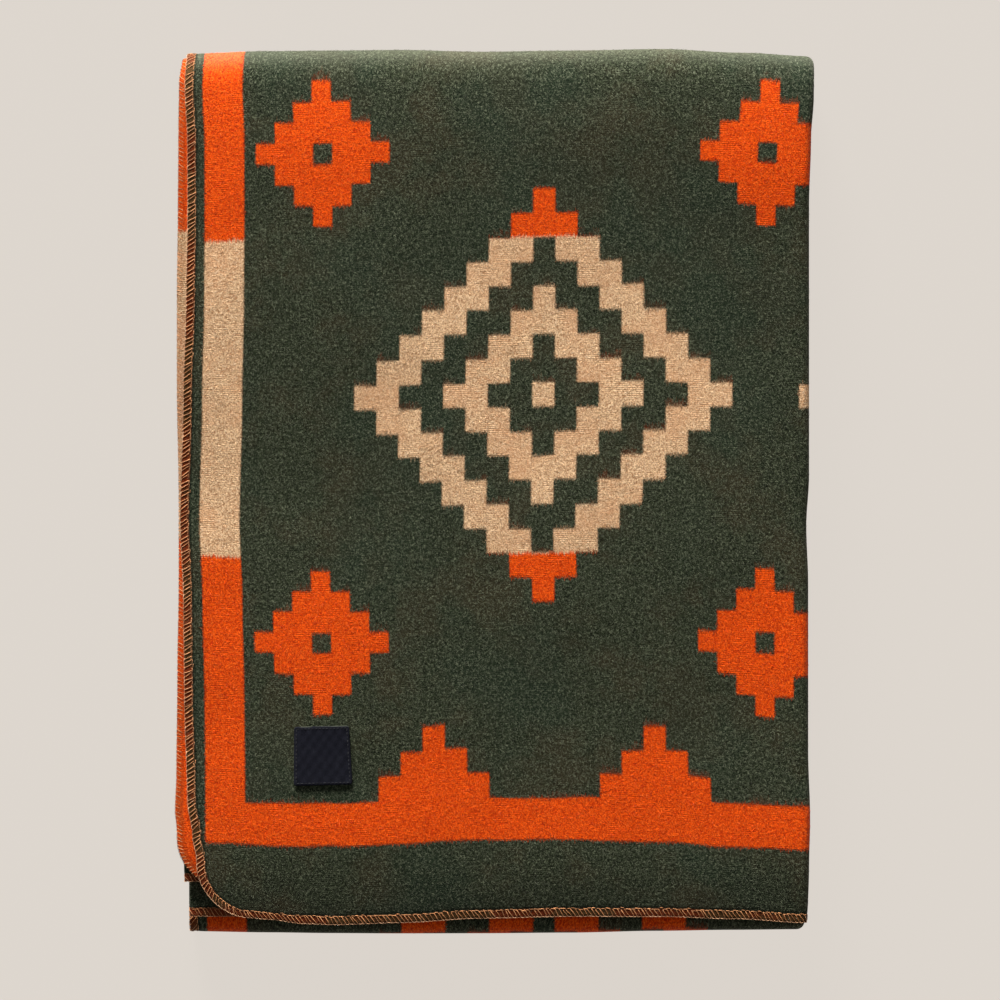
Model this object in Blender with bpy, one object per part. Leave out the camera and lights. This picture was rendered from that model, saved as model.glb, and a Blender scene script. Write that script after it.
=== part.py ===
"""A wool blanket folded into sixteen layers, with a woven label sewn to its face.

Metres. X runs across the folded blanket, Y along it and Z up. The origin is under the middle of
the folded stack, on the surface that it lies on.

The cloth is one flat sheet. It is folded in four across its width, which makes a bundle of four
plies, and the bundle is folded in four along its length. Each point of the flat sheet has a
distance across the cloth, a distance along it and a depth through it, and the two rows of folds
carry it to its place in the stack.
"""

import math
from collections import namedtuple

import bmesh
import bpy
from mathutils import Vector
from mathutils.bvhtree import BVHTree

# The cloth
PLY = 0.0022
PITCH = 0.0029
PLIES_IN_BUNDLE = 4
BUNDLES = 4
CORNER_RADIUS = 0.032
CORNER_STEPS = 4
EDGE_BAND = 0.088

# Where the bundle of plies turns, across the blanket
SIDE_HEM_X = -0.2018
SECOND_HEM_X = -0.2072
RIGHT_TURN_X = 0.2000
LEFT_TURN_X = -0.1985
INNER_TURN_TUCK = 0.0010

# Where the stack of bundles turns, along the blanket
END_HEM_Y = -0.2800
LAST_HEM_Y = -0.2785
TOP_TURN_Y = 0.2675
BOTTOM_TURN_Y = -0.2795
INNER_BUNDLE_TUCK = 0.0010

# The middle of the settled stack across the blanket, which is moved to the origin
MIDDLE_X = 0.0004

# Sewn label
LABEL_WIDTH = 0.0375
LABEL_HEIGHT = 0.0385
LABEL_THICKNESS = 0.0010
LABEL_X = -0.1133
LABEL_Y = -0.1725
LABEL_TURN = math.radians(1.5)
LABEL_GAP = 0.0003
LABEL_LIFT = 0.0012
LABEL_STEPS = 4

SMOOTH_ANGLE = math.radians(50)

CLOCKWISE = -1
ANTICLOCKWISE = 1

# Places where every ply has a column of points, and every bundle a row
COLUMNS_X = (-0.120, -0.040, 0.040, 0.120)
ROWS_Y = (-0.240, -0.200, -0.120, -0.040, 0.040, 0.120, 0.200, 0.236)

Section = namedtuple("Section", "run turn radius turn_steps")
Station = namedtuple("Station", "along across up normal_across normal_up")

# Plies, from the hem that shows: a flat run, then the fold that ends it
CROSS_SECTIONS = (
    Section(RIGHT_TURN_X - SIDE_HEM_X, CLOCKWISE, 1.5 * PITCH, 6),
    Section(RIGHT_TURN_X - LEFT_TURN_X, CLOCKWISE, 0.5 * PITCH, 4),
    Section(RIGHT_TURN_X - INNER_TURN_TUCK - LEFT_TURN_X, ANTICLOCKWISE, 0.5 * PITCH, 4),
    Section(RIGHT_TURN_X - INNER_TURN_TUCK - SECOND_HEM_X, 0, 0.0, 0),
)

# Bundles, from the end hem that shows: a flat run, then the fold that ends it
LENGTH_SECTIONS = (
    Section(TOP_TURN_Y - END_HEM_Y, CLOCKWISE, 6.0 * PITCH, 8),
    Section(TOP_TURN_Y - BOTTOM_TURN_Y, CLOCKWISE, 2.0 * PITCH, 6),
    Section(TOP_TURN_Y - INNER_BUNDLE_TUCK - BOTTOM_TURN_Y, ANTICLOCKWISE, 2.0 * PITCH, 6),
    Section(TOP_TURN_Y - INNER_BUNDLE_TUCK - LAST_HEM_Y, 0, 0.0, 0),
)

HemRow = namedtuple("HemRow", "along side_hem second_hem left_fold")

# How far the left-hand edges stray inwards from their mean lines, by the distance along the cloth
HEM_ROWS = (
    HemRow(0.000, 0.0100, 0.0000, -0.0030),
    HemRow(0.039, 0.0066, -0.0010, -0.0028),
    HemRow(0.052, 0.0052, -0.0022, -0.0025),
    HemRow(0.078, 0.0013, -0.0013, -0.0015),
    HemRow(0.144, -0.0012, -0.0006, 0.0000),
    HemRow(0.209, -0.0012, 0.0003, 0.0010),
    HemRow(0.261, -0.0032, 0.0003, 0.0010),
    HemRow(0.340, -0.0012, -0.0008, 0.0000),
    HemRow(0.405, 0.0007, -0.0008, -0.0005),
    HemRow(0.457, 0.0013, -0.0003, 0.0000),
    HemRow(0.509, 0.0007, 0.0000, 0.0010),
    HemRow(0.548, -0.0010, 0.0003, 0.0010),
    HemRow(0.566, -0.0005, 0.0040, 0.0010),
    HemRow(0.580, 0.0000, 0.0055, 0.0010),
    HemRow(0.700, 0.0010, 0.0035, 0.0025),
    HemRow(0.900, -0.0012, 0.0070, 0.0000),
    HemRow(1.140, 0.0005, 0.0060, 0.0000),
    HemRow(1.400, 0.0030, 0.0040, -0.0012),
    HemRow(1.700, 0.0000, 0.0075, 0.0015),
    HemRow(2.000, 0.0040, 0.0050, 0.0000),
    HemRow(2.290, 0.0025, 0.0080, 0.0000),
)

RightRow = namedtuple("RightRow", "y fold")

# How far the right-hand folds stray outwards, by the place along the blanket
RIGHT_ROWS = (
    RightRow(-0.290, -0.0012),
    RightRow(-0.245, 0.0000),
    RightRow(-0.214, 0.0007),
    RightRow(-0.170, -0.0006),
    RightRow(-0.060, -0.0006),
    RightRow(-0.022, -0.0018),
    RightRow(0.010, 0.0000),
    RightRow(0.190, 0.0000),
    RightRow(0.235, 0.0013),
    RightRow(0.262, 0.0032),
    RightRow(0.290, 0.0040),
)

EndRow = namedtuple("EndRow", "x top_fold end_hem bottom_fold")

# How far the top folds, the end hem and the bottom fold stray towards +Y, across the blanket
END_ROWS = (
    EndRow(-0.200, -0.0018, -0.0022, 0.0004),
    EndRow(-0.150, -0.0002, -0.0024, -0.0006),
    EndRow(-0.108, 0.0002, -0.0030, -0.0012),
    EndRow(-0.062, 0.0006, -0.0017, -0.0015),
    EndRow(-0.010, -0.0006, 0.0008, -0.0014),
    EndRow(0.049, 0.0002, 0.0015, -0.0008),
    EndRow(0.108, 0.0012, 0.0008, 0.0008),
    EndRow(0.157, -0.0012, -0.0010, 0.0018),
    EndRow(0.205, -0.0036, -0.0037, 0.0024),
)

EndShort = namedtuple("EndShort", "across first_end last_end")

# How far short of their mean lines the two cut ends lie, by the share of the way across the cloth
END_SHORT_ROWS = (
    EndShort(0.000, 0.0038, 0.0070),
    EndShort(0.012, 0.0028, 0.0070),
    EndShort(0.035, 0.0004, 0.0068),
    EndShort(0.060, 0.0000, 0.0064),
    EndShort(0.250, 0.0020, 0.0025),
    EndShort(0.500, 0.0270, 0.0000),
    EndShort(0.750, 0.0080, 0.0040),
    EndShort(1.000, 0.0230, 0.0100),
)

Form = namedtuple("Form", "x y reach_x reach_y rise")

# Soft rises and troughs of the stack, each a share of the height there
FORMS = (
    Form(-0.200, 0.010, 0.110, 0.070, -0.045),
    Form(-0.090, 0.110, 0.100, 0.090, 0.030),
    Form(0.110, 0.140, 0.100, 0.080, -0.030),
    Form(0.080, -0.040, 0.120, 0.090, 0.035),
    Form(0.230, 0.000, 0.090, 0.260, -0.060),
    Form(-0.100, -0.110, 0.100, 0.080, 0.015),
    Form(0.060, -0.190, 0.100, 0.080, -0.025),
    Form(-0.230, -0.190, 0.090, 0.130, -0.060),
    Form(-0.230, 0.220, 0.090, 0.120, -0.050),
    Form(0.000, 0.290, 0.600, 0.036, -0.115),
    Form(0.000, -0.300, 0.600, 0.045, -0.070),
)


def smooth(share):
    """Eases a share from 0 to 1 so that it leaves and arrives level."""
    share = min(max(share, 0.0), 1.0)
    return share * share * (3.0 - 2.0 * share)


def between(rows, column, at):
    """The value in one column of a table at a place between its rows."""
    below = rows[0]
    for row in rows:
        if row[0] >= at:
            gap = row[0] - below[0]
            share = smooth((at - below[0]) / gap) if gap else 0.0
            low, high = getattr(below, column), getattr(row, column)
            return low + (high - low) * share
        below = row
    return getattr(rows[-1], column)


def corner_distances():
    """Distances from an end hem at which the rows meet the round corner."""
    angles = (math.pi / 2 * step / CORNER_STEPS for step in range(1, CORNER_STEPS + 1))
    return [CORNER_RADIUS * (1.0 - math.cos(angle)) for angle in angles]


def run_marks(start, heading, run, shared, first, last):
    """Distances along a flat run: those of the shared places and the close ones at a free edge."""
    forward = math.cos(heading)
    marks = [(place - start) * forward for place in shared]
    clear_start = first[-1] if first else 0.0
    clear_end = run - (last[-1] if last else 0.0)
    middle = sorted(mark for mark in marks if clear_start < mark < clear_end)
    return [*first, *middle, *(run - mark for mark in reversed(last)), run]


def trace(across, up, sections, shared, close):
    """The stations of a row of folds, from its first free edge to its last."""
    heading = 0.0
    along = 0.0
    stations = [Station(along, across, up, 0.0, 1.0)]
    for index, section in enumerate(sections):
        first = close if index == 0 else ()
        last = close if index == len(sections) - 1 else ()
        ahead = (math.cos(heading), math.sin(heading))
        normal = (-ahead[1], ahead[0])
        for mark in run_marks(across, heading, section.run, shared, first, last):
            place = (across + ahead[0] * mark, up + ahead[1] * mark)
            stations.append(Station(along + mark, *place, *normal))
        along += section.run
        across, up = stations[-1].across, stations[-1].up
        centre = (
            across + normal[0] * section.turn * section.radius,
            up + normal[1] * section.turn * section.radius,
        )
        for step in range(1, section.turn_steps + 1):
            angle = heading + section.turn * math.pi * step / section.turn_steps
            out = (-math.sin(angle), math.cos(angle))
            place = (
                centre[0] - out[0] * section.turn * section.radius,
                centre[1] - out[1] * section.turn * section.radius,
            )
            arc = section.radius * math.pi * step / section.turn_steps
            stations.append(Station(along + arc, *place, *out))
        heading += section.turn * math.pi
        along += section.radius * math.pi * abs(section.turn)
        across, up = stations[-1].across, stations[-1].up
    return stations


def corner_inset(along, length):
    """How far the round corners draw the side hem in at a distance along the cloth."""
    left = CORNER_RADIUS - min(along, length - along)
    if left <= 0.0:
        return 0.0
    return CORNER_RADIUS - math.sqrt(max(CORNER_RADIUS**2 - left**2, 0.0))


def hem_shift(cross, row, width, length):
    """How far a point of the cloth moves across the blanket as its side hem strays."""
    from_side = cross.along
    from_second = width - cross.along
    from_fold = abs(from_side - width / 2)
    shift = 0.0
    for column, distance, section in (
        ("side_hem", from_side, CROSS_SECTIONS[0]),
        ("left_fold", from_fold, CROSS_SECTIONS[1]),
        ("second_hem", from_second, CROSS_SECTIONS[-1]),
    ):
        share = max(1.0 - distance / section.run, 0.0)
        shift += share * between(HEM_ROWS, column, row.along)
    squeeze = max(1.0 - min(from_side, from_second) / EDGE_BAND, 0.0)
    return shift + squeeze * corner_inset(row.along, length)


def end_shift(cross, row, x, width, length):
    """How far a point moves along the blanket as the cut end of its bundle strays."""
    across = cross.along / width
    first = max(1.0 - row.along / LENGTH_SECTIONS[0].run, 0.0)
    last = max(1.0 - (length - row.along) / LENGTH_SECTIONS[-1].run, 0.0)
    shown = between(END_ROWS, "end_hem", x) + between(END_SHORT_ROWS, "first_end", across)
    return first * shown + last * between(END_SHORT_ROWS, "last_end", across)


def settled(x, y, z):
    """The place of a point once the stack's folds stray and its layers rise and sink."""
    right = smooth(x / RIGHT_TURN_X) if x > 0.0 else 0.0
    top = smooth(y / TOP_TURN_Y) if y > 0.0 else 0.0
    bottom = smooth(y / BOTTOM_TURN_Y) if y < 0.0 else 0.0
    lower = bottom * (1.0 - smooth(z / (PITCH * PLIES_IN_BUNDLE * (BUNDLES - 1))))
    across = right * between(RIGHT_ROWS, "fold", y)
    along = top * between(END_ROWS, "top_fold", x) + lower * between(END_ROWS, "bottom_fold", x)
    rise = 1.0
    for form in FORMS:
        far = ((x - form.x) / form.reach_x) ** 2 + ((y - form.y) / form.reach_y) ** 2
        rise += form.rise * math.exp(-far)
    return Vector((x + across - MIDDLE_X, y + along, z * rise))


def cloth_point(cross, row, depth, width, length):
    """Carries a point of the flat cloth through both rows of folds."""
    lift = cross.up + depth * cross.normal_up
    x = cross.across + depth * cross.normal_across + hem_shift(cross, row, width, length)
    y = row.across + lift * row.normal_across + end_shift(cross, row, x, width, length)
    z = row.up + lift * row.normal_up
    return settled(x, y, z)


def colour_material(name, colour, roughness):
    """A plain material with a colour and a roughness."""
    material = bpy.data.materials.new(name)
    material.use_nodes = True
    shader = material.node_tree.nodes["Principled BSDF"]
    shader.inputs["Base Color"].default_value = (*colour, 1.0)
    shader.inputs["Roughness"].default_value = roughness
    shader.inputs["Metallic"].default_value = 0.0
    return material


def slab(name, over, under, material):
    """A closed slab between an upper and a lower grid of points, given as rows of points."""
    mesh = bmesh.new()
    top = [[mesh.verts.new(point) for point in row] for row in over]
    base = [[mesh.verts.new(point) for point in row] for row in under]
    rows, columns = len(top), len(top[0])
    for j in range(rows - 1):
        for i in range(columns - 1):
            mesh.faces.new((top[j][i], top[j][i + 1], top[j + 1][i + 1], top[j + 1][i]))
            mesh.faces.new((base[j][i], base[j + 1][i], base[j + 1][i + 1], base[j][i + 1]))
    for i in range(columns - 1):
        mesh.faces.new((top[0][i], base[0][i], base[0][i + 1], top[0][i + 1]))
        mesh.faces.new((top[-1][i], top[-1][i + 1], base[-1][i + 1], base[-1][i]))
    for j in range(rows - 1):
        mesh.faces.new((top[j][0], top[j + 1][0], base[j + 1][0], base[j][0]))
        mesh.faces.new((top[j][-1], base[j][-1], base[j + 1][-1], top[j + 1][-1]))
    bmesh.ops.recalc_face_normals(mesh, faces=mesh.faces)
    bmesh.ops.triangulate(mesh, faces=mesh.faces)
    data = bpy.data.meshes.new(name)
    mesh.to_mesh(data)
    mesh.free()
    data.shade_smooth()
    data.set_sharp_from_angle(angle=SMOOTH_ANGLE)
    data.materials.append(material)
    made = bpy.data.objects.new(name, data)
    bpy.context.scene.collection.objects.link(made)
    return made


def build_cloth():
    """The whole blanket as one folded sheet."""
    bundle_half = 0.5 * (PLIES_IN_BUNDLE - 1) * PITCH
    top_bundle_z = PLY / 2 + bundle_half + (BUNDLES - 1) * PLIES_IN_BUNDLE * PITCH
    edge_marks = (EDGE_BAND / 2, EDGE_BAND)
    columns = trace(SIDE_HEM_X, bundle_half, CROSS_SECTIONS, COLUMNS_X, edge_marks)
    rows = trace(END_HEM_Y, top_bundle_z, LENGTH_SECTIONS, ROWS_Y, corner_distances())
    width, length = columns[-1].along, rows[-1].along
    face = [[cloth_point(c, r, PLY / 2, width, length) for c in columns] for r in rows]
    reverse = [[cloth_point(c, r, -PLY / 2, width, length) for c in columns] for r in rows]
    print("flat size of the cloth", round(width, 4), round(length, 4))
    return slab("cloth", face, reverse, colour_material("wool", (0.045, 0.055, 0.032), 0.95))


def build_label(cloth):
    """The label, seated on the cloth's upper face and a little free at its lower edge."""
    tree = BVHTree.FromObject(cloth, bpy.context.evaluated_depsgraph_get())
    over, under = [], []
    for j in range(LABEL_STEPS + 1):
        over.append([])
        under.append([])
        for i in range(LABEL_STEPS + 1):
            a = LABEL_WIDTH * (i / LABEL_STEPS - 0.5)
            b = LABEL_HEIGHT * (j / LABEL_STEPS - 0.5)
            x = LABEL_X + a * math.cos(LABEL_TURN) - b * math.sin(LABEL_TURN)
            y = LABEL_Y + a * math.sin(LABEL_TURN) + b * math.cos(LABEL_TURN)
            hit = tree.ray_cast(Vector((x, y, 1.0)), Vector((0.0, 0.0, -1.0)))[0]
            free = LABEL_LIFT * (1.0 - j / LABEL_STEPS) ** 2
            under[-1].append(Vector((x, y, hit.z + LABEL_GAP + free)))
            over[-1].append(Vector((x, y, hit.z + LABEL_GAP + free + LABEL_THICKNESS)))
    return slab("label", over, under, colour_material("woven label", (0.012, 0.013, 0.02), 0.7))


def clear_scene():
    """Removes whatever the new file starts with."""
    for thing in list(bpy.data.objects):
        bpy.data.objects.remove(thing)


def main():
    clear_scene()
    cloth = build_cloth()
    build_label(cloth)


main()
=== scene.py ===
"""The looks of a folded wool blanket: brushed wool, overlocked edges and a sewn woven label.

Metres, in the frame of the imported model: X across the folded blanket, Y along it, Z up.

The cloth is one flat sheet with a face and a reverse. A point of it has a distance across, a
distance along and a depth through, and two rows of folds carry it to its place in the stack. The
threads and the nap are made on the flat sheet and carried by the same folds.
"""

import math
from collections import namedtuple

import bpy
import numpy as np
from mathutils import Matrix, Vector
from mathutils.bvhtree import BVHTree


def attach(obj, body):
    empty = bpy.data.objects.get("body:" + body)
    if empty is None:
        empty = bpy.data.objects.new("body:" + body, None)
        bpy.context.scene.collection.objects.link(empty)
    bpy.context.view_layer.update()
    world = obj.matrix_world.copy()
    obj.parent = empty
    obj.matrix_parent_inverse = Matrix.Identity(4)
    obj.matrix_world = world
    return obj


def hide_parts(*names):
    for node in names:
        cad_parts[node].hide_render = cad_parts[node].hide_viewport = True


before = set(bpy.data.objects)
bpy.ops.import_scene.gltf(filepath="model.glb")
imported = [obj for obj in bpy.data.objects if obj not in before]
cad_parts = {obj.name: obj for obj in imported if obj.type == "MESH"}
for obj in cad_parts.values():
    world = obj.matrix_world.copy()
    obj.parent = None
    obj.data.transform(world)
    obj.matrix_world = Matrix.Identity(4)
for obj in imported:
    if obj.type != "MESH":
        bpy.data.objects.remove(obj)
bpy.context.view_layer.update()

# The cloth
PLY = 0.0022
PITCH = 0.0029
PLIES_IN_BUNDLE = 4
BUNDLES = 4
CORNER_RADIUS = 0.032
EDGE_BAND = 0.088

# Where the bundle of plies turns, across the blanket
SIDE_HEM_X = -0.2018
SECOND_HEM_X = -0.2072
RIGHT_TURN_X = 0.2000
LEFT_TURN_X = -0.1985
INNER_TURN_TUCK = 0.0010

# Where the stack of bundles turns, along the blanket
END_HEM_Y = -0.2800
LAST_HEM_Y = -0.2785
TOP_TURN_Y = 0.2675
BOTTOM_TURN_Y = -0.2795
INNER_BUNDLE_TUCK = 0.0010

# How far along the side hem the corner that shows is cut wider than its radius
CUT_END = 0.144

# The middle of the settled stack across the blanket, which is moved to the origin
MIDDLE_X = 0.0004

# How closely the cloth's mesh is spaced on the ply that shows, and on the others
FINE_STEP = 0.0070
COARSE_STEP = 0.0165
EDGE_MARKS = (0.0004, 0.0012, 0.0028, 0.0047, 0.0062, 0.0090)

# The overlocked hem presses the wool: its distance from the edge and its share of the thickness
HEM_PRESS = (
    (0.0, 0.42),
    (0.0004, 0.62),
    (0.0012, 0.70),
    (0.0047, 0.72),
    (0.0062, 0.90),
    (0.0090, 1.0),
)

# The cloth's flat map for bakes: the part of the sheet that shows, and its share of each direction
MAP_NAME = "OFBake"
SHOWN_ACROSS = 0.402
SHOWN_ALONG = 0.602
MAP_SHOWN = 0.62

# Where the face, the reverse and the four narrow sides of the sheet lie in that map
MAP_FACE = (0.010, 0.700)
MAP_REVERSE = (0.990, 0.730)
MAP_SIDES = 0.704
MAP_SIDE_STEP = 0.006
MAP_SIDE_WIDE = 0.004
MAP_MARGIN = 0.010

# Overlock stitches, and how finely the round corners of their course are divided
CORNER_PARTS = 18
STITCH_STEP = 0.0028
STITCH_SLANT = 0.0030
STITCH_JITTER = 0.00052

# Threads: how wide and how thick they are, the number of their sides, and the length of a twist
Thread = namedtuple("Thread", "wide thick sides")
WRAP_THREAD = Thread(0.00050, 0.00042, 5)
CHAIN_THREAD = Thread(0.00042, 0.00042, 4)
LABEL_THREAD = Thread(0.00034, 0.00030, 6)
GIRTH_LEAST = 0.70
GIRTH_MOST = 1.15
THREAD_TWIST = 0.0011

# Nap
FACE_FIBRES = 26000
EDGE_FIBRES = 9000
FIBRE_LENGTH = (0.0014, 0.0042)
FIBRE_WIDTH = 0.00013
FIBRE_RISE = (0.00005, 0.0008)
NAP_SEED = 11

# Fibres on hidden plies are kept where the cloth turns down or near its edge, above the ground
NAP_START = 0.002
NAP_UPRIGHT = 0.85
NAP_HEM = 0.012
NAP_LOWEST = 0.003

# Sewn label
LABEL_WIDTH = 0.0371
LABEL_FLARE = 0.065
LABEL_HEIGHT = 0.0385
LABEL_THICKNESS = 0.0009
LABEL_X = -0.1133
LABEL_Y = -0.1725
LABEL_TURN = math.radians(1.5)
LABEL_GAP = 0.00025
LABEL_LIFT = 0.0005
LABEL_CLEAR = 0.0012
LABEL_WARP = 0.00052
LABEL_WEFT = 0.00046
LABEL_CELLS = 44
LABEL_CROWDING = 1.35
LABEL_CORNER = 0.0016
LABEL_STITCH_STEP = 0.0024
LABEL_STITCH_IN = 0.0015
LABEL_STITCH_SHAPE = ((0.0, -0.0002), (0.2, 0.00008), (0.5, 0.00012), (0.8, 0.00008), (1.0, -0.0002))

# Border stripe, from the edges of the cloth
STRIPE_ACROSS = (0.0115, 0.0375)
STRIPE_ALONG = (0.0510, 0.0787)

# Stepped diamonds: their places in the repeat and the size of one step
MEDALLION_ACROSS = 0.2337
MEDALLION_ALONG = 0.3435
REPEAT_ACROSS = 0.28985
REPEAT_ALONG = 0.7950
FIELD_START = 0.0450
MEDALLIONS_START = MEDALLION_ACROSS - REPEAT_ACROSS / 2
STEP_ACROSS = 0.01449
STEP_ALONG = 0.0160
CORNER_STEP_ACROSS = 0.0125
CORNER_STEP_ALONG = 0.0135
CORNER_ALONG = 0.1600
MEDALLION_STEPS = 8.5
CORNER_STEPS = 3.5
PEAK_STEPS = 2.5
TAN_HALF = 0.1045
TAN_BLEND = 0.0016

# The blocks' edges: teeth to the metre, how far they stray across and along, and a slow drift
TEETH = 950.0
STRAY_ACROSS = 0.0046
STRAY_ALONG = 0.0085
LOOSE_ACROSS = -0.0060
LOOSE_ALONG = -0.0150
LOOSE_SHARE = 0.36
DRIFT = 0.0034
HAZE_ALONG = 0.018
HAZE_ABOVE = 0.0034

# Lying fibres: the directions they lie in, how drawn out they are and how many to the metre
FIBRE_TURNS = (0.55, -0.75, 1.45)
FIBRE_DRAWN = 0.27
FIBRE_SCALE = 1600.0

# Along the cloth, where the painted shade by the end hem fades out, and how dark it is
END_SHADE_RANGE = (0.004, 0.046)
END_SHADE_SHARE = 0.27

# Along the cloth, where a painted highlight lies over the top fold on the face, and how much of it shows
HIGHLIGHT_RISE = (0.5550, 0.5700)
HIGHLIGHT_FALL = (0.5900, 0.6050)
HIGHLIGHT_SHARE = 0.10

# Weft ribs to the metre, in radians
RIBS = 4600.0

# The wool under the stitches, by the distance from the edge: where it is tinted brown and darkened with
# painted shade between the stitches, and a painted shadow line beside them
HEM_SHADED_BAND = (0.0045, 0.0060)
HEM_SHADOW_LINE = (0.0052, 0.0058, 0.0062, 0.0074)

# How much of that tint and painted shade shows on the reverse, and how much more on the face
HEM_SHARE = 0.34
HEM_FACE_MORE = 0.43

# The sheen of fine hairs
WOOL_SHEEN = 0.14
SHEEN_ROUGHNESS = 0.35
SHEEN_TINT = (1.0, 0.96, 0.82, 1.0)

# Colours, as screen values from 0 to 255
GROUND_DEEP = (9, 12, 5)
GROUND_LIGHT = (57, 64, 46)
GROUND_HAIR = (124, 130, 106)
GROUND_BROWN = (55, 45, 30)
GROUND_BLUISH = (25, 42, 31)
GROUND_STAINED = (104, 42, 18)
ORANGE_DEEP = (168, 34, 2)
ORANGE_LIGHT = (243, 92, 14)
ORANGE_HAIR = (255, 132, 50)
TAN_DEEP = (150, 106, 70)
TAN_LIGHT = (246, 210, 166)
TAN_WARM = (202, 150, 108)
TAN_HAIR = (246, 222, 190)
# The pale colour of the painted highlight over the top fold
HIGHLIGHT_COLOUR = (172, 174, 150)
# The brown of the wool under the stitches, partly a tint like the thread's and partly painted shade between
# the stitches
HEM_OLIVE = (88, 58, 28)
HEM_RED = (118, 44, 14)
LABEL_DEEP = (13, 13, 18)
LABEL_LIGHT = (31, 32, 41)
LABEL_WORN = (44, 45, 53)
LABEL_EDGE = (66, 69, 60)
FLOOR_COLOUR = (221, 214, 206)

# Each kind of thread, where it is dark, where it is light, and the colour of its palest stitches
OVERLOCK_COLOURS = ((128, 70, 34), (206, 140, 84), (222, 156, 104))
EDGE_COLOURS = ((116, 72, 44), (182, 130, 90), (216, 172, 132))
LABEL_THREAD_COLOURS = ((10, 11, 16), (30, 32, 40), (24, 26, 33))

# The photographed view
CAMERA_X = 0.0027
CAMERA_Y = -0.0055
CAMERA_HEIGHT = 3.046
FILM_WIDTH = 36.0
SEEN_WIDTH = 0.653
TOP_OF_STACK = 0.046
UNDER_TOP_PLY = 0.040

# The soft square lights look at the middle of the floor
LIGHTS = (
    ("key", (-4.0, 20.0, 4.9), 7.2, 17400.0, (1.0, 0.985, 0.96)),
    ("overhead", (0.2, -0.5, 3.4), 2.4, 14.0, (1.0, 0.99, 0.98)),
)
STUDIO_COLOUR = (1.0, 0.99, 0.975, 1.0)
STUDIO_STRENGTH = 0.12

# The share of the floor's tone that is even, and not shaded by the blanket
FLOOR_GLOW = 0.97
FLOOR_REACH = 12.0
FLOOR_Z = -0.0003


def table(columns, *rows):
    """Rows of numbers with a name for each column."""
    Row = namedtuple("Row", columns)
    return [Row(*row) for row in rows]


CLOCKWISE = -1
ANTICLOCKWISE = 1

Section = namedtuple("Section", "run turn radius")
Folded = namedtuple("Folded", "across up normal_across normal_up")

# Plies, from the hem that shows: a flat run, then the fold that ends it
CROSS_SECTIONS = (
    Section(RIGHT_TURN_X - SIDE_HEM_X, CLOCKWISE, 1.5 * PITCH),
    Section(RIGHT_TURN_X - LEFT_TURN_X, CLOCKWISE, 0.5 * PITCH),
    Section(RIGHT_TURN_X - INNER_TURN_TUCK - LEFT_TURN_X, ANTICLOCKWISE, 0.5 * PITCH),
    Section(RIGHT_TURN_X - INNER_TURN_TUCK - SECOND_HEM_X, 0, 0.0),
)

# Bundles, from the end hem that shows: a flat run, then the fold that ends it
LENGTH_SECTIONS = (
    Section(TOP_TURN_Y - END_HEM_Y, CLOCKWISE, 6.0 * PITCH),
    Section(TOP_TURN_Y - BOTTOM_TURN_Y, CLOCKWISE, 2.0 * PITCH),
    Section(TOP_TURN_Y - INNER_BUNDLE_TUCK - BOTTOM_TURN_Y, ANTICLOCKWISE, 2.0 * PITCH),
    Section(TOP_TURN_Y - INNER_BUNDLE_TUCK - LAST_HEM_Y, 0, 0.0),
)

BUNDLE_HALF = 0.5 * (PLIES_IN_BUNDLE - 1) * PITCH
TOP_BUNDLE_Z = PLY / 2 + BUNDLE_HALF + (BUNDLES - 1) * PLIES_IN_BUNDLE * PITCH
WIDTH = sum(s.run + math.pi * s.radius for s in CROSS_SECTIONS)
LENGTH = sum(s.run + math.pi * s.radius for s in LENGTH_SECTIONS)

# How far the left-hand edges stray inwards from their mean lines, by the distance along the cloth
HEM_ROWS = table(
    "along side_hem second_hem left_fold",
    (0.0, 0.01, 0.0, -0.003),
    (0.039, 0.0066, -0.001, -0.0028),
    (0.052, 0.0042, -0.0022, -0.0025),
    (0.078, 0.0006, -0.0013, -0.0015),
    (0.144, -0.0012, -0.0006, 0.0),
    (0.209, -0.0018, 0.0003, 0.001),
    (0.261, -0.004, 0.0003, 0.001),
    (0.34, -0.0019, -0.0008, 0.0),
    (0.405, -0.0001, -0.0008, -0.0005),
    (0.457, 0.0008, -0.0003, 0.0),
    (0.509, 0.0007, 0.0, 0.001),
    (0.548, -0.001, 0.0003, 0.001),
    (0.566, -0.0005, 0.0018, 0.001),
    (0.58, 0.0, 0.003, 0.001),
    (0.7, 0.001, 0.0035, 0.0025),
    (0.9, -0.0012, 0.007, 0.0),
    (1.14, 0.0005, 0.006, 0.0),
    (1.4, 0.003, 0.004, -0.0012),
    (1.7, 0.0, 0.0075, 0.0015),
    (2.0, 0.004, 0.005, 0.0),
    (2.29, 0.0025, 0.008, 0.0),
)

# How far the right-hand folds stray outwards, by the place along the blanket
RIGHT_ROWS = table(
    "y fold",
    (-0.29, -0.0012),
    (-0.245, 0.0),
    (-0.214, 0.0007),
    (-0.17, -0.0006),
    (-0.06, -0.0006),
    (-0.022, -0.0018),
    (0.01, 0.0),
    (0.19, 0.0),
    (0.235, 0.0013),
    (0.262, 0.0032),
    (0.29, 0.004),
)

# How far the top folds, the end hem and the bottom fold stray towards +Y, across the blanket
END_ROWS = table(
    "x top_fold end_hem bottom_fold",
    (-0.2, -0.0018, -0.0022, 0.0004),
    (-0.15, -0.0002, -0.0024, -0.0006),
    (-0.108, 0.0002, -0.003, -0.0012),
    (-0.062, 0.0006, -0.0017, -0.0015),
    (-0.01, -0.0006, 0.0008, -0.0014),
    (0.049, 0.0002, 0.0015, -0.0008),
    (0.108, 0.0012, 0.0008, 0.0008),
    (0.157, -0.0012, -0.001, 0.0018),
    (0.205, -0.0036, -0.0037, 0.0024),
)

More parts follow.
